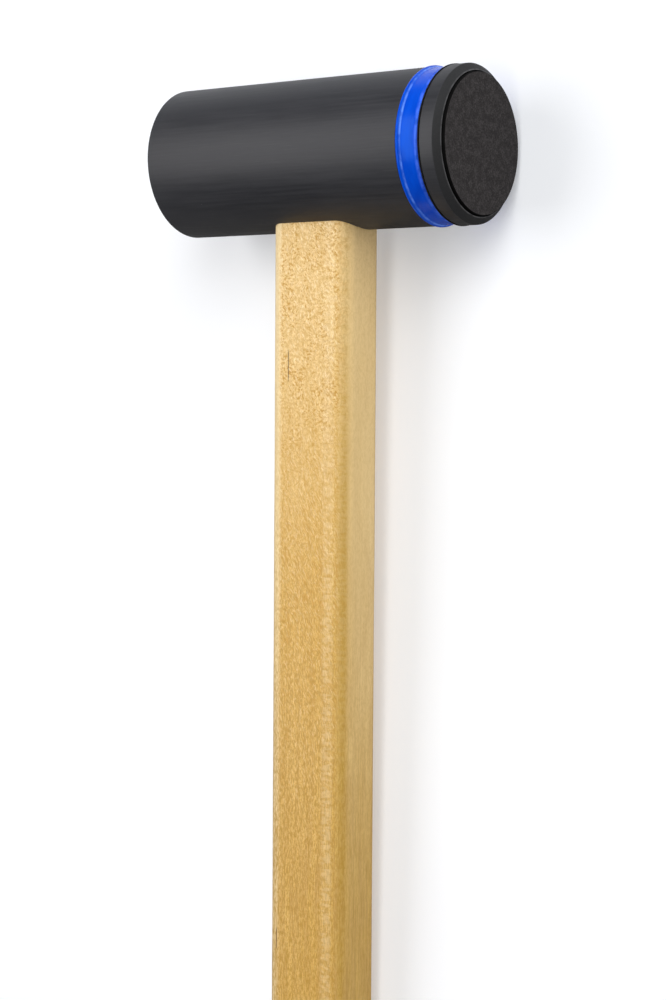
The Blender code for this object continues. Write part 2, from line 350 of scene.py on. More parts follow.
def streaked(tree, place, spread, detail=3.0, low=0.35, high=0.65):
    inputs = {"Place": place, "Spread": spread, "Detail": detail, "Low": low, "High": high}
    return use(tree, streaks, inputs)[0]


def dotted(tree, place, spacing, size, share):
    return use(tree, specks, {"Place": place, "Spacing": spacing, "Size": size, "Share": share})[0]


def lineAround(tree, place, edge, width):
    # A line round the head at one place along it: worn edges on the plastic, painted highlights on the ring
    inputs = {"Place": place["Place"], "Value": place["Along"], "Edge": edge, "Width": width}
    return use(tree, edgeBand, inputs)[0]


def toMm(value):
    return value / mm


# Barrel: a satin charcoal plastic rod, turned down to a spigot at the ring's end

barrel = {
    "steps": 256,
    "edgeRound": 0.5 * mm,
    "shoulderRound": 0.06 * mm,
    "shoulderGap": 0.03 * mm,
    "spigotRound": 0.25 * mm,
    "mouthRound": 0.18 * mm,
    "mouthSteps": 3,
    "mouthFit": 0.04 * mm,
    "mouthFlare": (0.3, 3.0),
    "overrun": 5 * mm,
    "wornWidth": 0.35 * mm,
}
# Streaks are (features per millimetre along X, Y and Z, detail, low, high), dots are (spacing, size, share)
plastic = {
    "deep": (0.0170, 0.0178, 0.0222),
    "pale": (0.0305, 0.0312, 0.0368),
    # The chamfer's darker colour is painted shade
    "mattAndPaintedShade": (0.0110, 0.0110, 0.0115),
    "worn": (0.085, 0.085, 0.088),
    "roughness": (0.44, 0.56),
    "drawn": ((0.05, 1.9, 1.9), 4.0, 0.39, 0.61),
    "broad": ((0.03, 0.16, 0.16), 2.0),
    "drawnShare": 0.55,
    "scratch": ((0.12, 7.0, 7.0), 2.0, 0.62, 0.72),
    "scratchShare": 0.2,
    "turned": ((6.0, 0.35, 0.35), 2.0),
    "dots": (3.1, 0.07, 0.35),
    "dotShare": 0.8,
    "endRings": 1.7,
    "endRingTone": (0.3, 0.7, 0.25, 0.75),
    "endDepth": (0.2, 0.03),
    "rimWidth": (0.8, 0.3),
    "mattAndShadeRun": (-0.05, 0.1),
    "paintedShadeShare": 0.85,
    "mattRoughness": 0.28,
    "wornShine": 0.08,
    "reliefs": (0.5, 0.35),
    "bump": (0.18, 0.02 * mm),
}


def makePlastic(name, wornEdge, mattAndShadeFrom=None):
    # wornEdge is (place along the head, width, radius) of the edge that shows wear
    material, tree, shader = newMaterial(name, IOR=1.5, Specular_IOR_Level=0.45)
    place = use(tree, malletPlace)
    here = place["Place"]
    drawn = streaked(tree, here, *plastic["drawn"])
    broad = streaked(tree, here, *plastic["broad"])
    scratch = streaked(tree, here, *plastic["scratch"])
    turnedMarks = streaked(tree, here, *plastic["turned"])
    dots = dotted(tree, here, *plastic["dots"])
    tone = calc(tree, "ADD", times(tree, drawn, plastic["drawnShare"]),
                times(tree, broad, 1 - plastic["drawnShare"]))

    # A turned end shows fine rings about the axis, where the rod's length shows drawn streaks
    turning = put(tree, "TexNoise", {"W": place["Radius"], "Scale": plastic["endRings"], "Detail": 3.0},
                  noise_dimensions="1D").outputs[0]
    endRings = remap(tree, turning, *plastic["endRingTone"])
    onEnd = remap(tree, place["Along"], *[toMm(hardFace) + depth for depth in plastic["endDepth"]])
    tone = put(tree, "Mix", {0: onEnd, 2: tone, 3: endRings}).outputs[0]
    colour = mixed(tree, tone, plastic["deep"], plastic["pale"])
    rough = remap(tree, tone, 0.0, 1.0, *plastic["roughness"], kind="LINEAR")
    if mattAndShadeFrom is not None:
        # The chamfer is more matt than the turned round, and painted darker as shade
        start, full = plastic["mattAndShadeRun"]
        mattAndPaintedShade = remap(tree, place["Along"], mattAndShadeFrom + start, mattAndShadeFrom + full, 0.0, plastic["paintedShadeShare"])
        colour = mixed(tree, mattAndPaintedShade, colour, plastic["mattAndPaintedShade"])
        rough = calc(tree, "ADD", rough, times(tree, mattAndPaintedShade, plastic["mattRoughness"]))

    # Wear: small dots, the rubbed edge and fine scratches along the rod
    edge, width, rimRadius = wornEdge
    onRim = remap(tree, place["Radius"], *[rimRadius - inwards for inwards in plastic["rimWidth"]])
    rubbed = times(tree, lineAround(tree, place, edge, width), onRim)
    worn = calc(tree, "MAXIMUM", times(tree, dots, plastic["dotShare"]), rubbed)
    scratch = times(tree, scratch, calc(tree, "SUBTRACT", 1.0, onEnd))
    worn = calc(tree, "MAXIMUM", worn, times(tree, scratch, plastic["scratchShare"]))
    wire(tree, mixed(tree, worn, colour, plastic["worn"]), shader["Base Color"])
    wire(tree, calc(tree, "SUBTRACT", rough, times(tree, worn, plastic["wornShine"])), shader["Roughness"])
    drawnRelief, turnedRelief = plastic["reliefs"]
    height = calc(tree, "ADD", times(tree, tone, drawnRelief), times(tree, turnedMarks, turnedRelief))
    addBump(tree, shader, height, *plastic["bump"])
    return material


def makeMouthCutter():
    # The mortise: the handle's section, opened out by a small rounding where it meets the round of the barrel
    fit = barrel["mouthFit"]
    rounding = barrel["mouthRound"]
    levels = [(tenonEnd + joint["seam"], 0.0, False), (rounding, 0.0, True)]
    for step in range(1, barrel["mouthSteps"] + 1):
        turn = math.pi / 2 * step / barrel["mouthSteps"]
        levels.append((rounding * (1 - math.sin(turn)), rounding * (1 - math.cos(turn)), True))
    # Beyond the rounding the cutter opens out at once, clear of the round
    drop, flare = [part * rounding for part in barrel["mouthFlare"]]
    levels.append((-drop, flare, True))
    levels.append((-barrelRadius - barrel["overrun"], flare, False))
    section = (handle["width"] + 2 * fit, handle["depth"] + 2 * fit, handle["corner"] + fit,
               handle["cornerSteps"])
    return makeBar("mouthCutter", section, levels)


def makeBarrel():
    bore, spigot = joint["boreRadius"], joint["spigotRadius"]
    drillEnd = screwTip - joint["seam"]
    shoulder = ringStart - barrel["shoulderGap"]
    piece = turned("barrel_body", [
        (drillEnd, 0, 0),
        (drillEnd, bore, 0),
        (spigotEnd, bore, joint["boreRound"]),
        (spigotEnd, spigot, barrel["spigotRound"]),
        (shoulder, spigot, 0),
        (shoulder, barrelRadius, barrel["shoulderRound"]),
        (hardFace, barrelRadius, barrel["edgeRound"]),
        (hardFace, 0, 0),
    ], barrel["steps"])
    carve(piece, makeMouthCutter())
    wornEdge = (toMm(hardFace), toMm(barrel["wornWidth"]), toMm(barrelRadius))
    material = makePlastic("charcoalPlastic", wornEdge)
    return dress(piece, material, "barrel")


# Ring: glossy blue elastomer. A lip stands proud beside the barrel, and the band behind it lies lower

ring = {
    "steps": 256,
    "lipRound": 0.5 * mm,
    "lipHeight": 0.6 * mm,
    "lipSlope": math.atan2(0.8, 0.6),
    "coveRound": 1.0 * mm,
    "shoulderRound": 1.6 * mm,
    "innerRound": 0.15 * mm,
    "roundSteps": 10,
    "deep": (0.001, 0.057, 0.56),
    "bright": (0.001, 0.077, 0.66),
    "dust": (0.20, 0.32, 0.85),
    "cloud": ((0.4, 0.12, 0.12), 3.0),
    "lines": ((5.0, 0.15, 0.15), 2.0),
    "dots": (1.7, 0.07, 0.25),
    "dustShare": 0.6,
    "roughness": (0.18, 0.26),
    # Painted highlights are pale lines on the lip's slope and the shoulder's rounding, as (place along the
    # head, width, colour)
    "paintedHighlights": [
        (toMm(ringStart) + 1.15, 0.36, (0.14, 0.31, 1.0)),
        (toMm(ringEnd) - 0.85, 0.7, (0.075, 0.19, 1.0)),
    ],
    "paintedHighlightShare": 0.85,
    "bump": (0.12, 0.02 * mm),
}


def makeRingMaterial():
    material, tree, shader = newMaterial("blueElastomer", IOR=1.5, Specular_IOR_Level=0.27,
                                         Specular_Tint=(0.2, 0.55, 0.98, 1.0))
    place = use(tree, malletPlace)
    cloud = streaked(tree, place["Place"], *ring["cloud"])
    lines = streaked(tree, place["Place"], *ring["lines"])
    dots = dotted(tree, place["Place"], *ring["dots"])
    colour = mixed(tree, cloud, ring["deep"], ring["bright"])
    colour = mixed(tree, times(tree, dots, ring["dustShare"]), colour, ring["dust"])
    # Pale lines on the lip's slope and the shoulder's rounding are painted highlights
    for edge, width, highlightColour in ring["paintedHighlights"]:
        highlightLine = lineAround(tree, place, edge, width)
        colour = mixed(tree, times(tree, highlightLine, ring["paintedHighlightShare"]), colour, highlightColour)
    wire(tree, colour, shader["Base Color"])
    wire(tree, remap(tree, cloud, 0.0, 1.0, *ring["roughness"]), shader["Roughness"])
    addBump(tree, shader, lines, *ring["bump"])
    return material


def makeRing():
    inner = joint["spigotRadius"] + joint["fit"]
    bandRadius = ringRadius - ring["lipHeight"]
    tangent = math.tan(ring["lipSlope"] / 2)
    lipTangent, coveTangent = ring["lipRound"] * tangent, ring["coveRound"] * tangent
    lipEnd = ringStart + ring["lipRound"] + lipTangent
    coveStart = lipEnd + (lipTangent + coveTangent) * math.cos(ring["lipSlope"])
    piece = turned("ring_band", [
        (ringStart, inner, ring["innerRound"]),
        (ringStart, ringRadius, ring["lipRound"]),
        (lipEnd, ringRadius, lipTangent),
        (coveStart, bandRadius, coveTangent),
        (ringEnd, bandRadius, ring["shoulderRound"]),
        (ringEnd, inner, ring["innerRound"]),
    ], ring["steps"], closed=True, roundSteps=ring["roundSteps"])
    return dress(piece, makeRingMaterial(), "colour_ring")


# Washer: a thin black disc that shows as a dark line between the ring and the cap

washer = {
    "steps": 256,
    "edgeRound": 0.08 * mm,
    "edgeSteps": 3,
    "deep": (0.004, 0.004, 0.0045),
    "pale": (0.012, 0.012, 0.013),
    "cloud": ((2.0, 1.1, 1.1), 4.0),
    "roughness": (0.85, 0.65),
}


def makeWasherMaterial():
    material, tree, shader = newMaterial("blackRubber", Specular_IOR_Level=0.2, IOR=1.45)
    place = use(tree, malletPlace)
    cloud = streaked(tree, place["Place"], *washer["cloud"])
    wire(tree, mixed(tree, cloud, washer["deep"], washer["pale"]), shader["Base Color"])
    wire(tree, remap(tree, cloud, 0.0, 1.0, *washer["roughness"]), shader["Roughness"])
    return material


def makeWasher():
    inner = joint["spigotRadius"] + joint["fit"]
    piece = turned("washer_disc", [
        (washerBack, inner, 0),
        (washerBack, washerRadius, washer["edgeRound"]),
        (washerFront, washerRadius, washer["edgeRound"]),
        (washerFront, inner, 0),
    ], washer["steps"], closed=True, roundSteps=washer["edgeSteps"])
    return dress(piece, makeWasherMaterial(), "ring_washer")


# Cap: turned from the same plastic, with a chamfer outside and a recess for the pad

cap = {
    "steps": 256,
    "chamferLength": 1.5 * mm,
    "chamferDepth": 1.7 * mm,
    "chamferRound": 0.14 * mm,
    "backRound": 0.2 * mm,
    "rimLand": 0.15 * mm,
    "rimRound": 0.05 * mm,
    "recessDepth": 1.2 * mm,
    "socketDepth": 0.8 * mm,
    "screwHeadRim": 0.3 * mm,
    "wornWidth": 0.22 * mm,
}


def makeCap():
    rim = capRadius - cap["chamferDepth"]
    recess = rim - cap["rimLand"]
    recessFloor = capFront - cap["recessDepth"]
    bore, socket = joint["boreRadius"], joint["spigotRadius"] + joint["fit"]
    socketFloor = capBack + cap["socketDepth"]
    countersink = screwHeadRadius + joint["fit"]
    coneTop = screwTop - cap["screwHeadRim"]
    piece = turned("cap_disc", [
        (recessFloor, recess, 0),
        (capFront, recess, cap["rimRound"]),
        (capFront, rim, cap["rimRound"]),
        (capFront - cap["chamferLength"], capRadius, cap["chamferRound"]),
        (capBack, capRadius, cap["backRound"]),
        (capBack, socket, joint["boreRound"]),
        (socketFloor, socket, 0),
        (socketFloor, bore, 0),
        (coneTop - (countersink - bore), bore, 0),
        (coneTop, countersink, 0),
        (recessFloor, countersink, joint["boreRound"]),
    ], cap["steps"], closed=True)
    wornEdge = (toMm(capFront), toMm(cap["wornWidth"]), toMm(rim))
    material = makePlastic("charcoalPlasticCap", wornEdge, toMm(capFront - cap["chamferLength"]))
    return dress(piece, material, "end_cap")


# Pad: dense black foam with a fine nap, standing a little proud of the cap

pad = {
    "cells": 190,
    "edgeRound": 0.1 * mm,
    "edgeSteps": 4,
    "napDepth": 0.05 * mm,
    "napSize": 0.42 * mm,
    "fineNapSize": 0.189 * mm,
    "fineNapShare": 0.5,
    "swellDepth": 0.06 * mm,
    "swellSize": 5 * mm,
    "rimFade": 8,
    "sharpAngle": 60,
    "valley": (0.0240, 0.0213, 0.0212),
    "ground": (0.0330, 0.0294, 0.0292),
    "fibre": (0.0600, 0.0540, 0.0535),
    # The side wall's colour is painted shade, near black
    "side": (0.0005, 0.0005, 0.0005),
    "sideZone": (0.16 * mm, 0.06 * mm),
    "tufts": ((2.2, 2.2, 2.2), 4.0, 0.3, 0.7),
    "fine": ((5.0, 5.0, 5.0), 2.0),
    "blotches": ((0.55, 0.55, 0.55), 3.0, 0.36, 0.62),
    "shares": (0.45, 0.25, 0.30),
    "dots": (0.9, 0.22, 0.3),
    "dotShare": 0.5,
    "toneStops": (0.15, 0.5, 0.85),
    "roughness": (1.0, 0.82),
    "bump": (0.5, 0.05 * mm),
}


def makePadMaterial():
    material, tree, shader = newMaterial("blackPad", Specular_IOR_Level=0.16, IOR=1.45)
    place = use(tree, malletPlace)
    here = place["Place"]
    tuftShare, fineShare, blotchShare = pad["shares"]
    tufts = streaked(tree, here, *pad["tufts"])
    fine = streaked(tree, here, *pad["fine"])
    blotches = streaked(tree, here, *pad["blotches"])
    dots = dotted(tree, here, *pad["dots"])
    tone = calc(tree, "ADD", times(tree, tufts, tuftShare), times(tree, fine, fineShare))
    tone = calc(tree, "ADD", tone, times(tree, blotches, blotchShare))
    colour = ramp(tree, tone, list(zip(pad["toneStops"], (pad["valley"], pad["ground"], pad["fibre"]))))
    colour = mixed(tree, times(tree, dots, pad["dotShare"]), colour, pad["fibre"])
    # The side wall is painted near black as shade in the narrow gap beside the cap's rim
    side = remap(tree, place["Radius"], *[toMm(padRadius - inwards) for inwards in pad["sideZone"]])
    wire(tree, mixed(tree, side, colour, pad["side"]), shader["Base Color"])
    wire(tree, remap(tree, tone, 0.0, 1.0, *pad["roughness"]), shader["Roughness"])
    addBump(tree, shader, tone, *pad["bump"])
    return material


def makePad():
    shape = bmesh.new()
    cells = pad["cells"]
    face = bmesh.ops.create_grid(shape, x_segments=cells, y_segments=cells, size=1.0)["verts"]
    flat = padRadius - pad["edgeRound"]
    for vert in face:
        # The square grid is drawn in to a disc
        u, v = vert.co.x, vert.co.y
        vert.co = Vector((0, u * math.sqrt(1 - v * v / 2) * flat, v * math.sqrt(1 - u * u / 2) * flat))
    rim = [edge for edge in shape.edges if edge.is_boundary]
    for step in range(1, pad["edgeSteps"] + 1):
        turn = math.pi / 2 * step / pad["edgeSteps"]
        radius = flat + pad["edgeRound"] * math.sin(turn)
        depth = pad["edgeRound"] * (1 - math.cos(turn))
        rim = stretchRim(shape, rim, radius, -depth)
    rim = stretchRim(shape, rim, padRadius, padBack - padFace)
    bmesh.ops.holes_fill(shape, edges=rim, sides=0)
    for vert in face:
        # Soft swellings and the nap, both fading out at the rim
        inwards = 1 - (vert.co.yz.length / flat) ** pad["rimFade"]
        swell = noise.noise(vert.co / pad["swellSize"])
        nap = noise.noise(vert.co / pad["napSize"])
        nap += pad["fineNapShare"] * noise.noise(vert.co / pad["fineNapSize"])
        vert.co.x -= inwards * (pad["swellDepth"] * (0.6 + 0.4 * swell) + pad["napDepth"] * (0.5 + 0.5 * nap))
    bmesh.ops.translate(shape, vec=(padFace, 0, 0), verts=shape.verts)
    piece = finishMesh("pad_foam", shape, sharpAngle=pad["sharpAngle"])
    return dress(piece, makePadMaterial(), "strike_pad")


# Handle: a straight maple bar, sanded round at its long edges and lacquered satin

handle = {
    "width": handleHigh.x - handleLow.x,
    "depth": 15.9 * mm,
    "corner": 4.0 * mm,
    "cornerSteps": 16,
    "buttRound": 1.5 * mm,
    "buttSteps": 8,
    "tenonChamfer": 0.6 * mm,
    "levelSpacing": 3.0 * mm,
    "sanding": 0.03 * mm,
    "sandingLength": 22 * mm,
}
# A zone is (edge, full) in millimetres. A fade is (start, end, value at start, value at end) down the handle,
# where 0 is the head's axis and 1 is fadeLength below it. Streaks are as in the plastic
maple = {
    "cream": (0.87, 0.635, 0.295),
    "honey": (0.72, 0.457, 0.117),
    "olive": (0.55, 0.35, 0.075),
    "ringLine": (0.50, 0.29, 0.09),
    "fleck": (0.54, 0.265, 0.028),
    "grainLine": (0.44, 0.24, 0.028),
    # The pale colour is the wood's pale figure, and also the painted highlights on the left rounded edge and
    # in the band beside the right one
    "pale": (0.98, 0.83, 0.52),
    # The narrow sides' pale tint is painted light beside the head
    "sidePale": (0.98, 0.71, 0.33),
    "hairline": (0.10, 0.055, 0.022),
    "endGrain": (0.48, 0.28, 0.11),
    "roughness": (0.42, 0.52),
    "fadeLength": 210.0,
    "sideZone": (10.7, 11.8),
    "faceZone": (10.6, 8.4),
    "cornerZone": (7.6, 10.4),
    # The left rounded edge's zone and share give a painted highlight
    "paintedEdgeHighlightZone": (-7.2, -8.9),
    # The band zones mark a painted highlight band beside one rounded edge
    "highlightBandZones": ((4.4, 6.2), (9.0, 7.4)),
    "buttZone": (1.3, 0.2),
    "pith": (-84.0, -16.0),
    "waverScale": 0.018,
    "waver": 9.0,
    "ringScale": 0.55,
    "ringTone": (0.35, 0.68),
    "faceWarmth": (0.06, 0.62, 0.06, 0.90),
    "sideWarmth": (0.40, 1.0, 0.05, 0.95),
    "driftShare": 0.24,
    "oliveFade": (0.1, 0.5, 0.06, 0.75),
    "sidePaleFade": (0.35, 0.05),
    "paintedEdgeHighlightShare": 0.62,
    "ringFade": (0.2, 0.9, 0.10, 0.32),
    "fibreFade": (0.3, 1.0, 0.06, 0.38),
    "bendScale": 0.16,
    "bendFade": (0.45, 0.85, 3.0, 0.9),
    "slant": math.radians(66),
    "dashFade": (0.48, 0.26),
    "strokeFade": (0.5, 0.9, 0.8, 0.12),
    "fineShare": 0.7,
    "clumpRange": (0.6, 1.15),
    "fleckShare": 0.78,
    "fleckOffFace": 0.5,
    "fleckOnPaintedEdgeHighlight": 0.3,
    "fleckOnSide": 0.8,
    "lightFades": ((0.1, 0.5, 0.55, 0.26), (0.6, 0.9, 1.0, 0.35)),
    "grainFade": (0.25, 0.85, 0.16, 0.74),
    "grainOnCorner": (0.4, 0.75),
    "grainOnSide": (0.13, 0.36),
    "lineFade": (0.5, 0.95, 0.0, 0.42),
    "shadeFade": (0.55, 0.95, 0.0, 0.24),
    "cornerRippleFade": (0.5, 0.8, 0.5, 0.08),
    "rippleShare": 0.17,
    "highlightBandShare": 0.05,
    "endShare": 0.85,
    "fleckRoughness": 0.06,
    # How high fibres and ripples stand and how deep flecks and grain lie, as parts of the bump
    "reliefs": {"fibres": 0.4, "fleck": 0.3, "ripple": 0.5, "grain": 0.4},
    "bump": (0.4, 0.03 * mm),
    "fibres": ((2.4, 0.05, 2.4), 3.0, 0.41, 0.60),
    "drift": ((0.10, 0.012, 0.10), 2.0),
    "dashes": ((1.35, 1.6, 1.1), 3.0, 0.48, 0.58),
    "strokes": ((0.5, 2.2, 1.0), 2.0, 0.47, 0.60),
    "fine": ((3.2, 2.2, 2.0), 2.0, 0.48, 0.62),
    "clumps": ((0.30, 0.12, 0.30), 2.0, 0.36, 0.56),
    "lights": ((0.7, 2.9, 1.2), 2.0, 0.47, 0.34),
    "grain": ((3.1, 0.70, 2.6), 3.0, 0.46, 0.58),
    "lines": ((2.7, 0.13, 2.3), 3.0, 0.50, 0.60),
    "shades": ((0.55, 0.035, 0.75), 3.0, 0.50, 0.66),
    "ripple": ((0.35, 1.1, 0.35), 3.0, 0.44, 0.58),
    # Hairlines are (place along the head, place up the handle, half length)
    "hairlines": [(-5.7, -52.8, 4.6), (-8.6, -198.5, 3.2)],
    "hairlineWidth": (0.22, 0.08),
    "hairlineShare": 0.75,
}


def makeMaple():
    material, tree, shader = newMaterial("satinMaple", IOR=1.5, Specular_IOR_Level=0.3, Coat_Weight=0.08,
                                         Coat_Roughness=0.35)
    place = use(tree, malletPlace)
    here = place["Place"]
    downwards = remap(tree, place["Up"], 0.0, -maple["fadeLength"], kind="LINEAR")

    def fading(fade):
        return remap(tree, downwards, *fade)

    def streaksOf(name, where=here):
        return streaked(tree, where, *maple[name])

    # Growth rings about a pith line far to the hard end's side, wavering slowly along the handle
    waver = put(tree, "TexNoise", {"Vector": here, "Scale": maple["waverScale"], "Detail": 2.0}).outputs[0]
    acrossX = calc(tree, "SUBTRACT", place["Along"], maple["pith"][0])
    acrossZ = calc(tree, "SUBTRACT", place["Depth"], maple["pith"][1])
    squares = calc(tree, "ADD", times(tree, acrossX, acrossX), times(tree, acrossZ, acrossZ))
    ringRange = calc(tree, "ADD", calc(tree, "SQRT", squares), times(tree, waver, maple["waver"]))
    rings = put(tree, "TexNoise", {"W": ringRange, "Scale": maple["ringScale"], "Detail": 3.0,
                                   "Roughness": 0.6}, noise_dimensions="1D").outputs[0]
    ringTone = remap(tree, rings, *maple["ringTone"])
    fibres = streaksOf("fibres")

    # Where a point lies: on a broad face, a rounded edge or a narrow side
    sideways = calc(tree, "ABSOLUTE", place["Along"])
    onSide = remap(tree, sideways, *maple["sideZone"])
    offSide = calc(tree, "SUBTRACT", 1.0, onSide)
    onCorner = times(tree, remap(tree, place["Along"], *maple["cornerZone"]), offSide)
    onPaintedEdgeHighlight = remap(tree, place["Along"], *maple["paintedEdgeHighlightZone"])
    onFace = remap(tree, sideways, *maple["faceZone"])

    # The wood is palest beside the head and warmer towards the butt, the narrow sides later than the faces.
    # On the narrow sides beside the head this is painted light against the head's shade
    warmth = calc(tree, "ADD", times(tree, fading(maple["faceWarmth"]), offSide),
                  times(tree, fading(maple["sideWarmth"]), onSide))
    drift = times(tree, calc(tree, "SUBTRACT", streaksOf("drift"), 0.5), maple["driftShare"])
    warmth = calc(tree, "ADD", warmth, drift, clamp=True)
    colour = mixed(tree, warmth, maple["cream"], maple["honey"])
    colour = mixed(tree, times(tree, onCorner, fading(maple["oliveFade"])), colour, maple["olive"])
    # Painted highlight: the left rounded edge is paler
    colour = mixed(tree, times(tree, onPaintedEdgeHighlight, maple["paintedEdgeHighlightShare"]), colour, maple["pale"])
    # Painted light: the narrow sides are paler beside the head
    colour = mixed(tree, times(tree, onSide, fading(maple["sidePaleFade"])), colour, maple["sidePale"])
    colour = mixed(tree, times(tree, ringTone, fading(maple["ringFade"])), colour, maple["ringLine"])
    colour = mixed(tree, times(tree, fibres, fading(maple["fibreFade"])), colour, maple["ringLine"])

    # Flecks: small dots and dashes beside the head, steep brush strokes further down
    bend = put(tree, "TexNoise", {"Vector": here, "Scale": maple["bendScale"],
                                  "Detail": 2.0}).outputs["Color"]
    bend = put(tree, "VectorMath", {0: bend, 3: fading(maple["bendFade"])}, operation="SCALE").outputs[0]
    bent = put(tree, "VectorMath", {0: here, 1: bend}, operation="ADD").outputs[0]
    slanted = put(tree, "Mapping", {"Vector": bent, "Rotation": (0, 0, maple["slant"])}).outputs[0]
    byHead = fading(maple["dashFade"])
    lower = calc(tree, "SUBTRACT", 1.0, byHead)
    clumps = remap(tree, streaksOf("clumps"), 0.0, 1.0, *maple["clumpRange"])
    marks = calc(tree, "ADD", times(tree, streaksOf("dashes", bent), byHead, clumps),
                 times(tree, streaksOf("strokes", slanted), lower, fading(maple["strokeFade"])))
    marks = calc(tree, "MAXIMUM", marks, times(tree, streaksOf("fine", bent), maple["fineShare"]))
    fleck = times(tree, marks, remap(tree, onFace, 0.0, 1.0, maple["fleckOffFace"], 1.0),
                  remap(tree, onPaintedEdgeHighlight, 0.0, 1.0, 1.0, maple["fleckOnPaintedEdgeHighlight"]),
                  calc(tree, "SUBTRACT", 1.0, times(tree, onSide, maple["fleckOnSide"])))
    colour = mixed(tree, times(tree, fleck, maple["fleckShare"]), colour, maple["fleck"])
    nearFade, farFade = maple["lightFades"]
    lightShare = times(tree, onFace, fading(nearFade), fading(farFade))
    colour = mixed(tree, times(tree, streaksOf("lights", slanted), lightShare), colour, maple["pale"])

    # Grain: fine upright lines, strongest towards the butt and along the rounded edges
    grain = streaksOf("grain", bent)
    cornerLeast, cornerPart = maple["grainOnCorner"]
    sideLeast, sidePart = maple["grainOnSide"]
    grainShare = calc(tree, "MAXIMUM", fading(maple["grainFade"]), times(tree, onCorner, cornerLeast))
    grainShare = times(tree, grainShare, remap(tree, onCorner, 0.0, 1.0, 1.0, cornerPart))
    grainShare = times(tree, grainShare, remap(tree, onSide, 0.0, 1.0, 1.0, sidePart))
    grainShare = calc(tree, "MAXIMUM", grainShare, times(tree, onSide, sideLeast))
    colour = mixed(tree, times(tree, grain, grainShare), colour, maple["grainLine"])
    for name, fade, tint in (("lines", "lineFade", "grainLine"), ("shades", "shadeFade", "ringLine")):
        colour = mixed(tree, times(tree, streaksOf(name), fading(maple[fade])), colour, maple[tint])

    # A painted highlight band beside one rounded edge, with the figure's cross ripples in it
    highlightBandStart, highlightBandEnd = [remap(tree, place["Along"], *zone) for zone in maple["highlightBandZones"]]
    onHighlightBand = times(tree, highlightBandStart, highlightBandEnd)
    edgeRipple = times(tree, onCorner, fading(maple["cornerRippleFade"]))
    rippleTone = times(tree, streaksOf("ripple"), calc(tree, "MAXIMUM", onHighlightBand, edgeRipple))
    # The band's even paleness is a painted highlight, and its ripples are the figure
    bandTone = calc(tree, "ADD", times(tree, rippleTone, maple["rippleShare"]),
                    times(tree, onHighlightBand, maple["highlightBandShare"]))
    colour = mixed(tree, bandTone, colour, maple["pale"])

    # Short dark hairlines in the front face
    inFront = calc(tree, "GREATER_THAN", place["Depth"], 0.0)
    for lineX, lineUp, halfLength in maple["hairlines"]:
        away = calc(tree, "ABSOLUTE", calc(tree, "SUBTRACT", place["Along"], lineX))
        beyond = calc(tree, "ABSOLUTE", calc(tree, "SUBTRACT", place["Up"], lineUp))
        mark = times(tree, remap(tree, away, *maple["hairlineWidth"]),
                     remap(tree, beyond, halfLength, 0.6 * halfLength), inFront)
        colour = mixed(tree, times(tree, mark, maple["hairlineShare"]), colour, maple["hairline"])

    # End grain at the butt shows the rings edge on and takes up more lacquer
    atButt = remap(tree, place["Up"], *[toMm(butt) + inwards for inwards in maple["buttZone"]])
    endTone = mixed(tree, ringTone, maple["honey"], maple["endGrain"])
    colour = mixed(tree, times(tree, atButt, maple["endShare"]), colour, endTone)
    wire(tree, colour, shader["Base Color"])

    rough = calc(tree, "ADD", remap(tree, fibres, 0.0, 1.0, *maple["roughness"]),
                 times(tree, fleck, maple["fleckRoughness"]))
    wire(tree, rough, shader["Roughness"])
    reliefs = maple["reliefs"]
    height = calc(tree, "SUBTRACT", times(tree, fibres, reliefs["fibres"]),
                  times(tree, fleck, reliefs["fleck"]))
    height = calc(tree, "ADD", height, times(tree, rippleTone, reliefs["ripple"]))
    height = calc(tree, "SUBTRACT", height, times(tree, grain, reliefs["grain"]))
    addBump(tree, shader, height, *maple["bump"])
    return material


def makeHandle():
    chamfer, rounding, steps = handle["tenonChamfer"], handle["buttRound"], handle["buttSteps"]
    levels = [(tenonEnd, -chamfer, False), (tenonEnd - chamfer, 0.0, False)]
    reach = tenonEnd - chamfer - (butt + rounding)
    count = round(reach / handle["levelSpacing"])
    for index in range(1, count):
        along = tenonEnd - chamfer - reach * index / count
        wave = noise.noise(Vector((0, along / handle["sandingLength"], 0))) - 0.5
        levels.append((along, handle["sanding"] * wave, False))
    for step in range(steps + 1):
        turn = math.pi / 2 * step / steps
        levels.append((butt + rounding * (1 - math.sin(turn)), rounding * (math.cos(turn) - 1), False))
    section = (handle["width"], handle["depth"], handle["corner"], handle["cornerSteps"])
    piece = makeBar("handle_bar", section, levels)
    drill = turned("drillCutter", [
        (screwTip - joint["seam"], 0, 0),
        (screwTip - joint["seam"], joint["boreRadius"], 0),
        (handle["width"], joint["boreRadius"], 0),
        (handle["width"], 0, 0),
    ], joint["drillSteps"])
    carve(piece, drill)
    return dress(piece, makeMaple(), "handle")


# Hidden under the pad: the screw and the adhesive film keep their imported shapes

hidden = {
    "zinc": (0.60, 0.59, 0.55),
    "zincDark": (0.33, 0.33, 0.32),
    "film": (0.72, 0.69, 0.58),
    "filmThin": (0.52, 0.49, 0.40),
    "zincDrawn": ((3.0, 0.6, 0.6), 4.0),
    "filmCloud": ((0.5, 0.5, 0.5), 4.0),
    "zincRoughness": (0.25, 0.45),
    "filmRoughness": (0.35, 0.6),
}


def makeZinc():
    material, tree, shader = newMaterial("zincSteel", Metallic=1.0)
    place = use(tree, malletPlace)
    drawn = streaked(tree, place["Place"], *hidden["zincDrawn"])
    wire(tree, mixed(tree, drawn, hidden["zinc"], hidden["zincDark"]), shader["Base Color"])
    wire(tree, remap(tree, drawn, 0.0, 1.0, *hidden["zincRoughness"]), shader["Roughness"])
    return material


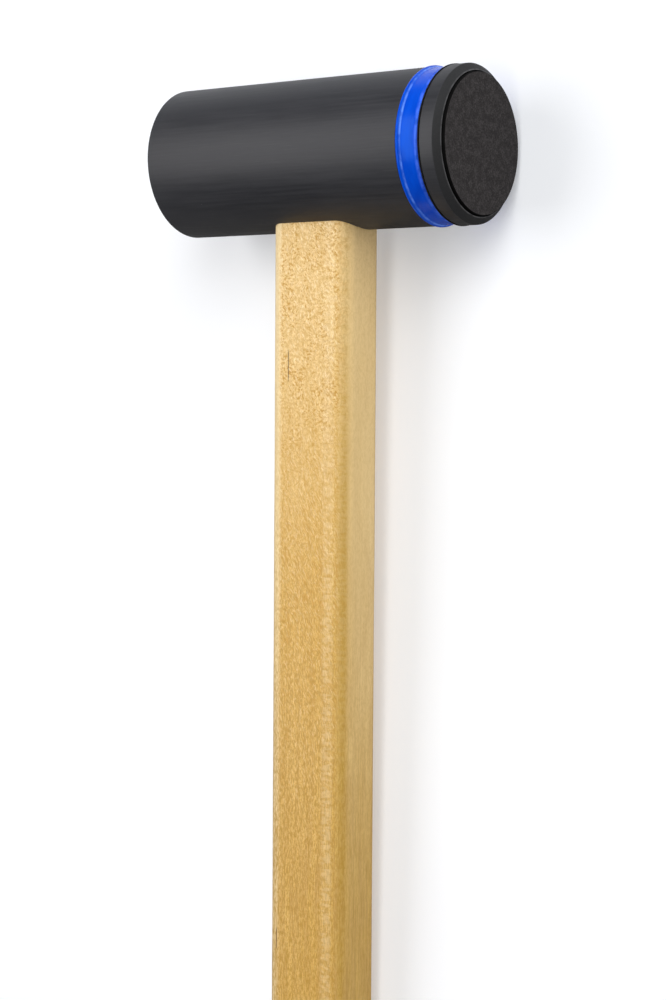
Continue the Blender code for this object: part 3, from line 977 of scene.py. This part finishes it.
def makeFilm():
    material, tree, shader = newMaterial("adhesiveFilm")
    place = use(tree, malletPlace)
    cloud = streaked(tree, place["Place"], *hidden["filmCloud"])
    wire(tree, mixed(tree, cloud, hidden["film"], hidden["filmThin"]), shader["Base Color"])
    wire(tree, remap(tree, cloud, 0.0, 1.0, *hidden["filmRoughness"]), shader["Roughness"])
    return material


def dressHidden():
    for node, material in (("head_screw", makeZinc()), ("pad_adhesive", makeFilm())):
        mesh = frame["nodes"][node].data
        mesh.materials.clear()
        mesh.materials.append(material)
    print("screw and adhesive film finished")


# Studio: the photograph's camera, a white floor and three soft lights

studio = {
    "lens": 74.3546,
    "sensor": 36.0,
    "cameraPlace": (301.456 * mm, -59.1257 * mm, 425.8303 * mm),
    "cameraTurn": (-2.75706, 35.07642, 0.44792),
    "floorSize": 6.0,
    "floorPale": (0.678, 0.69, 0.707),
    "floorShade": (0.648, 0.66, 0.677),
    "mirroredNear": (0.20, 0.20, 0.20),
    "mirroredFar": (0.72, 0.74, 0.77),
    "mirrorZone": (-40.0, 40.0),
    "floorCloud": ((0.01, 0.01, 0.01), 2.0),
    "floorGlow": 0.34,
    "farGlow": 0.9,
    "farZone": (450.0, 1500.0),
    "glowTint": (0.96, 0.985, 1.035),
    "sky": (1.0, 1.0, 1.0),
    "skyStrength": 0.10,
}
softboxes = [
    {"name": "keyBox", "place": (-0.74, 0.28, 1.09), "aim": (0, 0.15, 0), "size": (1.30, 0.90), "watts": 11.2,
     "colour": (1.0, 0.98, 0.975)},
    {"name": "topBox", "place": (0.64, 0.93, 0.92), "aim": (0, 0.12, 0), "size": (1.00, 1.10), "watts": 12.4,
     "colour": (0.97, 0.985, 1.0)},
    {"name": "fillBox", "place": (0.38, 0.08, 1.24), "aim": (0, 0.12, 0), "size": (1.15, 0.26), "watts": 5.0,
     "colour": (1.0, 0.98, 0.95)},
]


def makeCamera():
    data = bpy.data.cameras.new("camera")
    data.lens = studio["lens"]
    data.sensor_width = studio["sensor"]
    camera = bpy.data.objects.new("camera", data)
    turn = Euler([math.radians(angle) for angle in studio["cameraTurn"]]).to_matrix().to_4x4()
    camera.matrix_world = toRest @ Matrix.Translation(studio["cameraPlace"]) @ turn
    bpy.context.scene.collection.objects.link(camera)
    bpy.context.scene.camera = camera


def makeFloor():
    shape = bmesh.new()
    bmesh.ops.create_grid(shape, x_segments=1, y_segments=1, size=studio["floorSize"] / 2)
    floor = finishMesh("floor", shape, place=Matrix.Identity(4))
    material, tree, shader = newMaterial("paleFloor", Roughness=0.9, Specular_IOR_Level=0.1)
    place = use(tree, malletPlace)
    cloud = streaked(tree, place["Place"], *studio["floorCloud"])
    colour = mixed(tree, cloud, studio["floorPale"], studio["floorShade"])
    # The floor glows like a light table, but is dim in reflections on the handle's side of the head
    mirrored = put(tree, "LightPath").outputs["Is Glossy Ray"]
    beyond = remap(tree, place["Up"], *studio["mirrorZone"])
    inMirror = mixed(tree, beyond, studio["mirroredNear"], studio["mirroredFar"])
    wire(tree, mixed(tree, mirrored, colour, inMirror), shader["Base Color"])
    shader["Emission Color"].default_value = (*studio["glowTint"], 1)
    glow = remap(tree, mirrored, 0.0, 1.0, studio["floorGlow"], 0.0, kind="LINEAR")
    # Away from the mallet the floor fades into the white backdrop
    reach = put(tree, "VectorMath", {0: place["Place"]}, operation="LENGTH").outputs["Value"]
    farAway = remap(tree, reach, *studio["farZone"], 0.0, studio["farGlow"])
    seen = put(tree, "LightPath").outputs["Is Camera Ray"]
    wire(tree, calc(tree, "ADD", glow, times(tree, farAway, seen)), shader["Emission Strength"])
    floor.data.materials.append(material)
    if floor.data.polygons[0].normal.z < 0:
        floor.data.flip_normals()


def makeLights():
    for box in softboxes:
        data = bpy.data.lights.new(box["name"], "AREA")
        data.shape = "RECTANGLE"
        data.size, data.size_y = box["size"]
        data.energy = box["watts"]
        data.color = box["colour"]
        lamp = bpy.data.objects.new(box["name"], data)
        lamp.location = box["place"]
        lamp.rotation_euler = (Vector(box["aim"]) - Vector(box["place"])).to_track_quat("-Z", "Y").to_euler()
        lamp.visible_camera = False
        bpy.context.scene.collection.objects.link(lamp)
    world = bpy.data.worlds.new("studio")
    world.use_nodes = True
    # The backdrop is white where the camera sees it and dim as a light
    tree = world.node_tree
    sky = tree.nodes["Background"].inputs
    sky["Color"].default_value = (*studio["sky"], 1)
    seen = put(tree, "LightPath").outputs["Is Camera Ray"]
    wire(tree, remap(tree, seen, 0.0, 1.0, studio["skyStrength"], 1.0, kind="LINEAR"), sky["Strength"])
    bpy.context.scene.world = world
    bpy.context.scene.view_settings.view_transform = "Standard"


makeCamera()
makeFloor()
makeLights()
print("studio ready")
makeBarrel()
makeRing()
makeWasher()
makeCap()
makePad()
makeHandle()
dressHidden()
